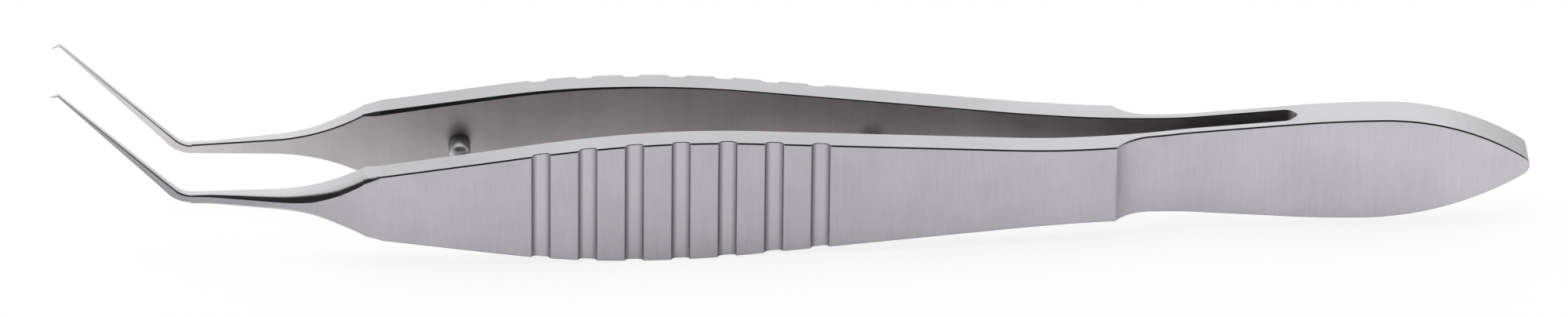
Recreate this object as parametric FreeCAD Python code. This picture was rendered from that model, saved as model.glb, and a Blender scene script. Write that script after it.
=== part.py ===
"""Capsulorhexis forceps: two sprung arms that grow out of a solid tail, with angled shafts and beaked tips.

Each arm is one bent steel blade: a thin spring leaf, a bowed grip with milled grooves, a slim neck and a
shaft bent upwards. Two pins in the right arm stop the grips short of each other. The arms are the tail's
own metal on the real instrument. Here each leaf is parted at its middle, so that its arm can turn there.

Stations are distances along the instrument from the rear end of the tail. The model has X along the
instrument with the tips at -X, Y across the two arms and Z up, and it stands on the lower edges of its grips.
"""
import FreeCAD
import Part
import math
import os
from FreeCAD import Vector

# Lengths along the instrument, from the rear end of the tail, in mm
TAIL_CROWN_AT = 10.5
TAIL_BELLY_AT = 11.9
SLOT_END_AT = 16.5
HINGE_AT = 21.6
LEAF_BEND_AT = 24.4
STEP_AT = 29.5
WAIST_AT = 30.75
GRIP_BEND_AT = 34.1
REAR_PIN_AT = 46.6
REAR_GROOVE_AT = 50.5
GRIP_CROWN_AT = 60.9
FRONT_BEND_AT = 70.3
FRONT_PIN_AT = 75.9
SHOULDER_AT = 82.7
BEVEL_FULL_AT = 84.0
NECK_TAPER_AT = 84.4
NECK_THIN_AT = 93.5
SHAFT_BEND_AT = 95.7

# Widths of the side outline
TAIL_WIDTH = 7.98
WAIST_WIDTH = 6.03
GRIP_WIDTH = 9.46
SHOULDER_WIDTH = 4.90
NECK_WIDTH = 0.82
SHAFT_ROOT_WIDTH = 0.64

# Radii of the side outline
TAIL_CROWN_RADIUS = 82.0
WAIST_RADIUS = 88.0
GRIP_CROWN_RADIUS = 80.0
NECK_RADIUS = 13.7
TAIL_END_RADIUS = 0.85

# How far the tail's round end and the tail's middle lie over the long axis, and the waist's middle under it
TAIL_END_RISE = 0.18
TAIL_RISE = 0.02
WAIST_DROP = 0.07

# Plan of the arms
TAIL_THICKNESS = 2.82
SLOT_WIDTH = 1.46
SLOT_NOSE = 0.95
LEAF_CUT = 0.04
LEAF_THICKNESS = 0.66
GRIP_THICKNESS = 1.87
SHAFT_ROOT_THICKNESS = 0.67
GAP_AT_GRIP_BEND = 3.11
GAP_AT_FRONT_BEND = 7.25
GAP_AT_SHOULDER = 7.20
GAP_AT_SHAFT_BEND = 6.27
GAP_AT_TIPS = 6.80
LEAF_BEND_RADIUS = 15.0
GRIP_BEND_RADIUS = 60.0
FRONT_BEND_RADIUS = 150.0
STEP_RADIUS = 3.2
EDGE_BREAK = 0.09

# Grooves milled across the outer face of each grip
GROOVE_COUNT = 7
GROOVE_PITCH = 3.3
GROOVE_WIDTH = 1.31
GROOVE_DEPTH = 0.30

# Shaft, bent upwards, and the beak at its end
SHAFT_ANGLE = 45.0
SHAFT_LENGTH = 11.9
SHAFT_BEND_RADIUS = 2.0
SHAFT_TIP_WIDTH = 0.12
SHAFT_TIP_THICKNESS = 0.32
BEAK_LENGTH = 0.56
BEAK_DROP = 0.20
BEAK_POINT = 0.05

# The bevels along the neck's and the shaft's outer edges, as shares of the section
BEVEL_HEIGHT_SHARE = 0.36
BEVEL_DEPTH_SHARE = 0.12
NECK_BEVEL_LIMIT = 0.36
NECK_SECTIONS = 12
BEND_STEPS = 4

# Pins in the right arm
PIN_DIAMETER = 1.58
PIN_STANDS_OUT = 2.0
PIN_SEAT_DEPTH = 1.2
PIN_DOME_HEIGHT = 0.45

# Worked-out places
TIP_REACH = SHAFT_LENGTH * math.cos(math.radians(SHAFT_ANGLE)) + BEAK_LENGTH
OVERALL_LENGTH = SHAFT_BEND_AT + TIP_REACH
AXIS_HEIGHT = GRIP_WIDTH / 2


def x_of(station):
    """X of a station along the instrument, with the origin midway between its two ends."""
    return OVERALL_LENGTH / 2 - station


def tangent_from_point(point, centre, radius):
    """Touching point on a circle of the upper tangent from a point beside it."""
    away = point - centre
    reach = away.Length
    lean = math.atan2(away.x, away.y)
    turn = math.acos(radius / reach)
    angle = lean - math.copysign(turn, lean)
    return centre + Vector(radius * math.sin(angle), radius * math.cos(angle), 0)


def inner_tangent(lower, lower_radius, upper, upper_radius):
    """Touching points of the line that runs over the lower circle and under the upper one."""
    across = upper - lower
    lean = math.atan2(across.x, across.y)
    turn = math.acos((lower_radius + upper_radius) / across.Length)
    angle = lean - math.copysign(turn, lean)
    toward = Vector(math.sin(angle), math.cos(angle), 0)
    return lower + toward * lower_radius, upper - toward * upper_radius


def arc_between(start, end, centre, radius, side):
    """Arc of a circle from start to end, through the side of the circle that side points to."""
    middle = (start + end) * 0.5 - centre
    if middle.Length < radius * 1e-6:
        middle = side
    middle.normalize()
    return Part.Arc(start, centre + middle * radius, end).toShape()


def bent_path(points, radii):
    """Edges of a path of straight runs through points, rounded at the inner points by tangent arcs."""
    edges = []
    start = points[0]
    for before, corner, after, radius in zip(points, points[1:], points[2:], radii):
        back = (before - corner).normalize()
        ahead = (after - corner).normalize()
        half_turn = (math.pi - back.getAngle(ahead)) / 2
        tangent = radius * math.tan(half_turn)
        arc_start = corner + back * tangent
        arc_end = corner + ahead * tangent
        inward = (back + ahead).normalize()
        middle = corner + inward * (radius / math.cos(half_turn) - radius)
        edges.append(Part.LineSegment(start, arc_start).toShape())
        edges.append(Part.Arc(arc_start, middle, arc_end).toShape())
        start = arc_end
    edges.append(Part.LineSegment(start, points[-1]).toShape())
    return edges


def offset_points(points, distance):
    """Corners of the path that runs beside another at a fixed distance, on its +Y side."""
    shifted = []
    for index, point in enumerate(points):
        runs = []
        if index > 0:
            runs.append((point - points[index - 1]).normalize())
        if index < len(points) - 1:
            runs.append((points[index + 1] - point).normalize())
        normals = [Vector(run.y, -run.x, 0) if run.x < 0 else Vector(-run.y, run.x, 0) for run in runs]
        middle = sum(normals[1:], normals[0]).normalize()
        shifted.append(point + middle * (distance / middle.dot(normals[0])))
    return shifted


def outline_edge(widest_at, side):
    """Edges of one half of the side outline from the tail's rear end to the shoulder, in station coordinates.

    widest_at is the station of the tail's widest point on this side. The side is 1 for the upper half and
    -1 for the lower one, which is drawn turned up.
    """
    up = Vector(0, 1, 0)
    end_rise = side * TAIL_END_RISE
    crown = Vector(GRIP_CROWN_AT, GRIP_WIDTH / 2 - GRIP_CROWN_RADIUS, 0)
    waist = Vector(WAIST_AT, WAIST_WIDTH / 2 - side * WAIST_DROP + WAIST_RADIUS, 0)
    tail_top = Vector(widest_at, TAIL_WIDTH / 2 + side * TAIL_RISE, 0)
    tail = tail_top - up * TAIL_CROWN_RADIUS
    shoulder = Vector(SHOULDER_AT, SHOULDER_WIDTH / 2, 0)
    tail_line, waist_rear = inner_tangent(tail, TAIL_CROWN_RADIUS, waist, WAIST_RADIUS)
    crown_rear, waist_front = inner_tangent(crown, GRIP_CROWN_RADIUS, waist, WAIST_RADIUS)
    crown_front = tangent_from_point(shoulder, crown, GRIP_CROWN_RADIUS)
    # The nose arc is tangent to the small round end and to the tail's widest point
    end_centre = Vector(TAIL_END_RADIUS, end_rise, 0)
    height = tail_top.y - end_rise
    nose_radius = ((widest_at ** 2 - 2 * widest_at * TAIL_END_RADIUS + height ** 2)
                   / (2 * (height - TAIL_END_RADIUS)))
    nose_centre = tail_top - up * nose_radius
    nose_end = nose_centre + (end_centre - nose_centre).normalize() * nose_radius
    return [
        arc_between(Vector(0, end_rise, 0), nose_end, end_centre, TAIL_END_RADIUS, up),
        arc_between(nose_end, tail_top, nose_centre, nose_radius, up),
        arc_between(tail_top, tail_line, tail, TAIL_CROWN_RADIUS, up),
        Part.LineSegment(tail_line, waist_rear).toShape(),
        arc_between(waist_rear, waist_front, waist, WAIST_RADIUS, up * -1),
        Part.LineSegment(waist_front, crown_rear).toShape(),
        arc_between(crown_rear, crown_front, crown, GRIP_CROWN_RADIUS, up),
        Part.LineSegment(crown_front, shoulder).toShape(),
    ]


def side_slab():
    """Slab with the side outline of tail and grip, thick enough to hold both arms."""
    upper = outline_edge(TAIL_CROWN_AT, 1)
    last = Vector(SHOULDER_AT, SHOULDER_WIDTH / 2, 0)
    turned_up = outline_edge(TAIL_BELLY_AT, -1)
    lower = [edge.mirror(Vector(0, 0, 0), Vector(0, 1, 0)) for edge in turned_up]
    front = Part.LineSegment(last, Vector(last.x, -last.y, 0)).toShape()
    wire = Part.Wire(Part.__sortEdges__(upper + lower + [front]))
    face = Part.Face(wire)
    reach = GAP_AT_SHOULDER + GRIP_THICKNESS * 2
    slab = face.extrude(Vector(0, 0, 2 * reach))
    slab.translate(Vector(0, 0, -reach))
    # The outline's upper side turns to +Z and its stations run towards -X
    slab.rotate(Vector(0, 0, 0), Vector(1, 0, 0), 90)
    slab.rotate(Vector(0, 0, 0), Vector(0, 0, 1), 180)
    slab.translate(Vector(OVERALL_LENGTH / 2, 0, 0))
    return slab


def inner_path_points():
    """Corners of the right arm's inner face in plan, from the parting of its leaf to the shoulder."""
    return [
        Vector(x_of(HINGE_AT + LEAF_CUT / 2), SLOT_WIDTH / 2, 0),
        Vector(x_of(LEAF_BEND_AT), SLOT_WIDTH / 2, 0),
        Vector(x_of(GRIP_BEND_AT), GAP_AT_GRIP_BEND / 2, 0),
        Vector(x_of(FRONT_BEND_AT), GAP_AT_FRONT_BEND / 2, 0),
        Vector(x_of(SHOULDER_AT), GAP_AT_SHOULDER / 2, 0),
    ]


PATH_RADII = [LEAF_BEND_RADIUS, GRIP_BEND_RADIUS, FRONT_BEND_RADIUS]


def point_at_x(start, end, x):
    """Point of the straight line through two points that has the given X."""
    share = (x - start.x) / (end.x - start.x)
    return start + (end - start) * share


def grip_plan():
    """Plan of the right arm's leaf and grip, with the step where the thin leaf becomes the thick grip."""
    inner = inner_path_points()
    leaf = offset_points(inner, LEAF_THICKNESS)
    grip = offset_points(inner, GRIP_THICKNESS)
    grip[-1] = point_at_x(grip[-2], grip[-1], inner[-1].x)
    leaf_run = (leaf[2] - leaf[1]).normalize()
    rise = Vector(leaf_run.y, -leaf_run.x, 0)
    height = GRIP_THICKNESS - LEAF_THICKNESS
    corner = point_at_x(grip[1], grip[2], x_of(STEP_AT))
    length = math.sqrt(STEP_RADIUS ** 2 - (STEP_RADIUS - height) ** 2)
    foot = corner - rise * height - leaf_run * length
    centre = foot + rise * STEP_RADIUS
    middle = centre + ((corner + foot) * 0.5 - centre).normalize() * STEP_RADIUS
    inner_edges = bent_path(inner, PATH_RADII)
    # Inner and outer faces bend about the same centres, so their radii differ by the thickness
    leaf_edges = bent_path([leaf[0], leaf[1], foot], [LEAF_BEND_RADIUS - LEAF_THICKNESS])
    step = Part.Arc(foot, middle, corner).toShape()
    grip_radii = [GRIP_BEND_RADIUS + GRIP_THICKNESS, FRONT_BEND_RADIUS + GRIP_THICKNESS]
    grip_edges = bent_path([corner] + grip[2:], grip_radii)
    ends = [
        Part.LineSegment(inner[0], leaf[0]).toShape(),
        Part.LineSegment(inner[-1], grip[-1]).toShape(),
    ]
    wire = Part.Wire(Part.__sortEdges__(inner_edges + leaf_edges + [step] + grip_edges + ends))
    return Part.Face(wire)


def slot_plan(front):
    """Plan of the slot from its rear end, a pointed arch, to a cut ahead of the tail's front."""
    half = SLOT_WIDTH / 2
    radius = (SLOT_NOSE ** 2 + half ** 2) / SLOT_WIDTH
    tip = Vector(x_of(SLOT_END_AT), 0, 0)
    edges = []
    for side in (1, -1):
        across = Vector(0, side, 0)
        widest = Vector(tip.x - SLOT_NOSE, side * half, 0)
        edges.append(arc_between(tip, widest, widest - across * radius, radius, across))
        edges.append(Part.LineSegment(widest, Vector(front - 1, widest.y, 0)).toShape())
    edges.append(Part.LineSegment(Vector(front - 1, half, 0), Vector(front - 1, -half, 0)).toShape())
    return Part.Face(Part.Wire(Part.__sortEdges__(edges)))


def tail_plan():
    """Plan of the tail block with the slot between the rear halves of the two leaves."""
    half = TAIL_THICKNESS / 2
    front = x_of(HINGE_AT - LEAF_CUT / 2)
    # The side outline trims the block's rear end
    length = x_of(0) + 1 - front
    block = Part.makePlane(length, TAIL_THICKNESS, Vector(front, -half, 0))
    return block.cut(slot_plan(front))


def full_width(plan):
    """Prism of a plan, wide enough for the side outline to trim it."""
    reach = GRIP_WIDTH
    prism = plan.extrude(Vector(0, 0, 2 * reach))
    prism.translate(Vector(0, 0, -reach))
    return prism


def break_edges(solid, amount):
    """Chamfers the long edges, where the side outline meets the inner and outer faces.

    Upright edges, edges across the thickness and edges on the long axis stay as they are.
    """
    nearly_all = 0.99
    tiny = 1e-6
    chosen = []
    for edge in solid.Edges:
        box = edge.BoundBox
        upright = box.ZLength > nearly_all * edge.Length
        across = box.YLength > nearly_all * edge.Length
        middle = edge.valueAt((edge.FirstParameter + edge.LastParameter) / 2)
        if box.XLength > tiny and not upright and not across and abs(middle.z) > amount:
            chosen.append(edge)
    return solid.makeChamfer(amount, chosen)


def groove_cutter(origin, run):
    """Cutter for one groove: a flat floor with quarter-round walls, across the whole width."""
    outward = Vector(run.y, -run.x, 0) if run.x < 0 else Vector(-run.y, run.x, 0)
    half = GROOVE_WIDTH / 2
    round_ = GROOVE_DEPTH
    floor = half - round_

    def place(along, out):
        return origin + run * along + outward * out

    diagonal = round_ * math.sqrt(0.5)
    rear_wall = Part.Arc(place(-half, 0), place(-floor - diagonal, -diagonal), place(-floor, -GROOVE_DEPTH))
    front_wall = Part.Arc(place(floor, -GROOVE_DEPTH), place(floor + diagonal, -diagonal), place(half, 0))
    edges = [
        Part.LineSegment(place(-half, GROOVE_DEPTH), place(-half, 0)).toShape(),
        rear_wall.toShape(),
        Part.LineSegment(place(-floor, -GROOVE_DEPTH), place(floor, -GROOVE_DEPTH)).toShape(),
        front_wall.toShape(),
        Part.LineSegment(place(half, 0), place(half, GROOVE_DEPTH)).toShape(),
        Part.LineSegment(place(half, GROOVE_DEPTH), place(-half, GROOVE_DEPTH)).toShape(),
    ]
    return full_width(Part.Face(Part.Wire(edges)))


def grooves():
    """The row of groove cutters on the outer face of the right grip."""
    grip = offset_points(inner_path_points(), GRIP_THICKNESS)
    run = (grip[3] - grip[2]).normalize()
    first = point_at_x(grip[2], grip[3], x_of(REAR_GROOVE_AT))
    return [groove_cutter(first + run * (index * GROOVE_PITCH), run) for index in range(GROOVE_COUNT)]


def neck_taper_line():
    """Start and slope of the straight taper between the neck's arc and the shaft bend, as half widths."""
    slope = (NECK_WIDTH - SHAFT_ROOT_WIDTH) / 2 / (SHAFT_BEND_AT - NECK_THIN_AT)
    return SHAFT_ROOT_WIDTH / 2, slope


def neck_half_width(station):
    """Half width of the neck: a concave arc from the shoulder, tangent to the straight taper ahead of it."""
    root, slope = neck_taper_line()
    lean = math.atan(slope)
    taper_at_shoulder = root + slope * (SHAFT_BEND_AT - SHOULDER_AT)
    height = (SHOULDER_WIDTH / 2 - taper_at_shoulder) * math.cos(lean)
    run = math.sqrt(max(2 * NECK_RADIUS * height - height ** 2, 0))
    foot = (SHAFT_BEND_AT - SHOULDER_AT) / math.cos(lean) + height * math.tan(lean) - run
    along = (SHAFT_BEND_AT - station) / math.cos(lean)
    beyond = max(along - foot, 0)
    rise = NECK_RADIUS - math.sqrt(NECK_RADIUS ** 2 - beyond ** 2)
    return root + slope * (SHAFT_BEND_AT - station) + rise / math.cos(lean)


def straight_between(station, start, end, start_value, end_value):
    """Value at a station on the line between two stations, held level outside them."""
    share = min(max((station - start) / (end - start), 0), 1)
    return start_value + (end_value - start_value) * share


def neck_thickness(station):
    """Thickness of the neck, full at the shoulder and slim where the shaft begins."""
    return straight_between(station, NECK_TAPER_AT, NECK_THIN_AT, GRIP_THICKNESS, SHAFT_ROOT_THICKNESS)


def half_section(centre, angle, half_width, inner_y, thickness, bevel_height, bevel_depth):
    """Closed section of neck or shaft: flat inside, bevelled on both outer edges, square to its direction."""
    lean = math.radians(angle)
    up = Vector(math.sin(lean), 0, math.cos(lean))
    outer_y = inner_y + thickness
    corners = [
        (half_width, inner_y),
        (half_width, outer_y - bevel_depth),
        (half_width - bevel_height, outer_y),
        (bevel_height - half_width, outer_y),
        (-half_width, outer_y - bevel_depth),
        (-half_width, inner_y),
    ]
    points = [centre + up * height + Vector(0, y, 0) for height, y in corners]
    return Part.makePolygon(points + points[:1])


def neck_section(station):
    """Section of the neck at a station."""
    half_width = neck_half_width(station)
    inner_y = straight_between(station, SHOULDER_AT, SHAFT_BEND_AT, GAP_AT_SHOULDER, GAP_AT_SHAFT_BEND) / 2
    fade = straight_between(station, SHOULDER_AT, BEVEL_FULL_AT, 0, 1)
    full_height = min(BEVEL_HEIGHT_SHARE * half_width, NECK_BEVEL_LIMIT)
    thickness = neck_thickness(station)
    bevel_height = EDGE_BREAK + (full_height - EDGE_BREAK) * fade
    bevel_depth = EDGE_BREAK + (BEVEL_DEPTH_SHARE * thickness - EDGE_BREAK) * fade
    centre = Vector(x_of(station), 0, 0)
    return half_section(centre, 0, half_width, inner_y, thickness, bevel_height, bevel_depth)


def shaft_section(distance):
    """Section of the shaft at a distance along it from the bend's corner."""
    angle = math.radians(SHAFT_ANGLE)
    share = distance / SHAFT_LENGTH
    centre = Vector(x_of(SHAFT_BEND_AT) - distance * math.cos(angle), 0, distance * math.sin(angle))
    half_width = (SHAFT_ROOT_WIDTH + (SHAFT_TIP_WIDTH - SHAFT_ROOT_WIDTH) * share) / 2
    inner_y = (GAP_AT_SHAFT_BEND + (GAP_AT_TIPS - GAP_AT_SHAFT_BEND) * share) / 2
    thickness = SHAFT_ROOT_THICKNESS + (SHAFT_TIP_THICKNESS - SHAFT_ROOT_THICKNESS) * share
    return half_section(centre, SHAFT_ANGLE, half_width, inner_y, thickness,
                        BEVEL_HEIGHT_SHARE * half_width, BEVEL_DEPTH_SHARE * thickness)


def bend_sections():
    """Sections round the bend from the neck into the shaft, ends included."""
    turn = math.radians(SHAFT_ANGLE)
    tangent = SHAFT_BEND_RADIUS * math.tan(turn / 2)
    start = Vector(x_of(SHAFT_BEND_AT - tangent), 0, 0)
    centre = start + Vector(0, 0, SHAFT_BEND_RADIUS)
    sections = []
    for step in range(1, BEND_STEPS):
        lean = turn * step / BEND_STEPS
        place = centre + Vector(-math.sin(lean), 0, -math.cos(lean)) * SHAFT_BEND_RADIUS
        sections.append(half_section(place, math.degrees(lean), SHAFT_ROOT_WIDTH / 2, GAP_AT_SHAFT_BEND / 2,
                                     SHAFT_ROOT_THICKNESS, BEVEL_HEIGHT_SHARE * SHAFT_ROOT_WIDTH / 2,
                                     BEVEL_DEPTH_SHARE * SHAFT_ROOT_THICKNESS))
    return [neck_section(SHAFT_BEND_AT - tangent)] + sections + [shaft_section(tangent)]


def beak(end_section):
    """Small beak that points forward from the end of the shaft."""
    angle = math.radians(SHAFT_ANGLE)
    end = Vector(x_of(SHAFT_BEND_AT) - SHAFT_LENGTH * math.cos(angle), 0, SHAFT_LENGTH * math.sin(angle))
    point = end + Vector(-BEAK_LENGTH, 0, -BEAK_DROP)
    tip = half_section(point, 0, BEAK_POINT / 2, GAP_AT_TIPS / 2, BEAK_POINT * 2,
                       BEAK_POINT * BEVEL_HEIGHT_SHARE / 2, BEAK_POINT * BEVEL_DEPTH_SHARE)
    return Part.makeLoft([end_section, tip], True, True)


def neck_and_shaft():
    """Neck, bend, shaft and beak of the right arm."""
    bend = bend_sections()
    neck_end = SHAFT_BEND_AT - SHAFT_BEND_RADIUS * math.tan(math.radians(SHAFT_ANGLE) / 2)
    spacing = (neck_end - SHOULDER_AT) / NECK_SECTIONS
    stations = [SHOULDER_AT + spacing * step for step in range(NECK_SECTIONS)]
    neck = Part.makeLoft([neck_section(station) for station in stations] + [bend[0]], True, True)
    turn = Part.makeLoft(bend, True, True)
    end = shaft_section(SHAFT_LENGTH)
    shaft = Part.makeLoft([bend[-1], end], True, True)
    return [neck, turn, shaft, beak(end)]


def arm():
    """The right arm without its pin holes: leaf, grip with grooves, neck, shaft and beak in one piece."""
    blade = full_width(grip_plan()).common(side_slab())
    blade = break_edges(blade.Solids[0], EDGE_BREAK)
    blade = blade.cut(grooves())
    whole = blade.fuse(neck_and_shaft())
    return whole


def tail():
    """The solid tail with the rear halves of both leaves, split by the slot."""
    block = full_width(tail_plan()).common(side_slab())
    return break_edges(block.Solids[0], EDGE_BREAK)


def pin_frame(station):
    """Centre of a pin on the right arm's inner face, and the direction in which it stands out."""
    inner = inner_path_points()
    for start, end in zip(inner, inner[1:]):
        if end.x <= x_of(station) <= start.x:
            run = (end - start).normalize()
            return point_at_x(start, end, x_of(station)), Vector(-run.y, run.x, 0)
    raise ValueError("the pin lies off the grip")


def pin(station):
    """One stop pin with a domed end, seated in its blind hole."""
    place, outward = pin_frame(station)
    seat = place - outward * PIN_SEAT_DEPTH
    radius = PIN_DIAMETER / 2
    shank = Part.makeCylinder(radius, PIN_SEAT_DEPTH + PIN_STANDS_OUT - PIN_DOME_HEIGHT, seat, outward)
    ball_radius = (radius ** 2 + PIN_DOME_HEIGHT ** 2) / (2 * PIN_DOME_HEIGHT)
    ball = Part.makeSphere(ball_radius, place + outward * (PIN_STANDS_OUT - ball_radius))
    column = Part.makeCylinder(radius, PIN_SEAT_DEPTH + PIN_STANDS_OUT, seat, outward)
    return shank.fuse(ball.common(column)).removeSplitter()


def pin_hole(station):
    """Cutter for the blind hole that a pin is pressed into."""
    place, outward = pin_frame(station)
    seat = place - outward * PIN_SEAT_DEPTH
    return Part.makeCylinder(PIN_DIAMETER / 2, 2 * PIN_SEAT_DEPTH, seat, outward)


def build():
    """All parts of the forceps by name, standing on the lower edges of the grips."""
    plain_arm = arm()
    right_arm = plain_arm.cut([pin_hole(FRONT_PIN_AT), pin_hole(REAR_PIN_AT)])
    parts = {
        "tail": tail(),
        "left_arm": plain_arm.mirror(Vector(0, 0, 0), Vector(0, 1, 0)),
        "right_arm": right_arm,
        "front_stop_pin": pin(FRONT_PIN_AT),
        "rear_stop_pin": pin(REAR_PIN_AT),
    }
    for shape in parts.values():
        shape.translate(Vector(0, 0, AXIS_HEIGHT))
    return parts


os.makedirs("parts", exist_ok=True)
for name, shape in build().items():
    shape.exportStep(f"parts/{name}.step")
    print(name, "solids", len(shape.Solids), "valid", shape.isValid(), "volume", round(shape.Volume, 2))
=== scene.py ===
"""Capsulorhexis forceps of satin stainless steel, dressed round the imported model.

The tail and the two sprung blades are swept meshes: one closed section is extruded from station to station
and shaped by the side outline and by the plan of the blade. Stations are distances in mm along the
instrument from the rear end of the tail. Finished meshes are in metres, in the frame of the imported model.
"""
import logging
import math
from dataclasses import dataclass, field, replace
from enum import IntEnum

import bmesh
import bpy
from mathutils import Matrix, Vector


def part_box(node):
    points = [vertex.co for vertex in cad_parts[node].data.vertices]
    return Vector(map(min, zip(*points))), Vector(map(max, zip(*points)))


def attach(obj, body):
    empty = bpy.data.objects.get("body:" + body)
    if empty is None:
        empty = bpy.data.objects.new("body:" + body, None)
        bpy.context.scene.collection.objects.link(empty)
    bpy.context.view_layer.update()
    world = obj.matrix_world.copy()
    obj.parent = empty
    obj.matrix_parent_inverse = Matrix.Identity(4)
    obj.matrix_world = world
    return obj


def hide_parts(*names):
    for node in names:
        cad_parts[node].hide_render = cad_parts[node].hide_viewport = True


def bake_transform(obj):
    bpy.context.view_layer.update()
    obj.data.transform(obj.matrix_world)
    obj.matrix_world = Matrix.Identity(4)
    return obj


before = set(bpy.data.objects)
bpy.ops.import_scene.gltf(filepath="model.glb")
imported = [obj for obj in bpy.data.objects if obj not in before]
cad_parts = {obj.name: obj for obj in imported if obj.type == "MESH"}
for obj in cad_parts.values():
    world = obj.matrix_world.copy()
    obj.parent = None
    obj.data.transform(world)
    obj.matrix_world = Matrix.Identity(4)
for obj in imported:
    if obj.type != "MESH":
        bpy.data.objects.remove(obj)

Table = tuple[tuple[float, float], ...]

MM = 0.001
MERGE = 1e-4 * MM
PHOTO_WIDTH = 2000
SENSOR_WIDTH = 36.0
WHITE = (1.0, 1.0, 1.0, 1.0)
# Name of the mesh attribute that carries painted light and shade, as a factor on the steel's colour
PAINTED_SHADING = "tone"
LOG = logging.getLogger("forceps")
# Noise: its middle, how far most of the grain and of the clouds reach to both sides of it, the strength of
# its finer layers, and how much wider the coarse grain is than the fine lines
NOISE_MIDDLE = 0.5
GRAIN_REACH = 0.3
CLOUD_REACH = 0.2
NOISE_ROUGHNESS = 0.55
COARSE_RATIO = 3.1
# Angles in degrees over which an edge stays crisp: on a blade, on a pin, and where two finishes meet
BLADE_CRISP = 24.0
PIN_CRISP = 40.0
FINISH_CRISP = 8.0
# Distances in mm: between the two stations of a crisp corner, and for measuring a profile's slope
CRISP_STEP = 0.004
SLOPE_STEP = 0.01
# Control point of an edge break's curve, as a share of its depth: its place on a plain break, and how far
# rolling the edge pulls it towards the outer face
PLAIN_SHARE = 0.5
ROLL_PULL = 0.14
# Steps of an edge break, of a groove's round wall and of its rim
BREAK_STEPS = 4
GROOVE_STEPS = 7
RIM_STEPS = 3


class Surface(IntEnum):
    """Surfaces of a blade, in the order of its material slots."""

    FACE = 0
    INSIDE = 1
    EDGE = 2
    BREAK = 3
    GROOVE = 4
    NECK_EDGE = 5
    NECK_BREAK = 6


# Surfaces along a section's outline, and the ones that the neck has in place of the grip's
SIDES = ([Surface.INSIDE, Surface.BREAK, Surface.EDGE] + [Surface.BREAK] * BREAK_STEPS + [Surface.FACE]
         + [Surface.BREAK] * BREAK_STEPS + [Surface.EDGE, Surface.BREAK])
NECK_SURFACES = {Surface.EDGE: Surface.NECK_EDGE, Surface.BREAK: Surface.NECK_BREAK}


def linear(colour: str) -> tuple[float, float, float, float]:
    """Turns an sRGB hex colour into linear light.

    Args:
        colour: Six hex digits after a hash mark.

    Returns:
        Red, green, blue and alpha in linear light.
    """
    values = [int(colour[place:place + 2], 16) / 255 for place in (1, 3, 5)]
    light = [value / 12.92 if value <= 0.04045 else ((value + 0.055) / 1.055) ** 2.4 for value in values]
    return (*light, 1.0)


def add_node(tree: bpy.types.NodeTree, kind: str, settings: dict | None = None,
             inputs: dict | None = None) -> bpy.types.Node:
    """Adds a node, sets its properties and fills or links its inputs.

    Args:
        tree: Node tree that gets the node.
        kind: Name of the node's type.
        settings: Properties by name.
        inputs: Values or sockets by input name or number.

    Returns:
        The new node.
    """
    node = tree.nodes.new(kind)
    for name, value in (settings or {}).items():
        setattr(node, name, value)
    for name, value in (inputs or {}).items():
        if isinstance(value, bpy.types.NodeSocket):
            tree.links.new(value, node.inputs[name])
        else:
            node.inputs[name].default_value = value
    return node


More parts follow.
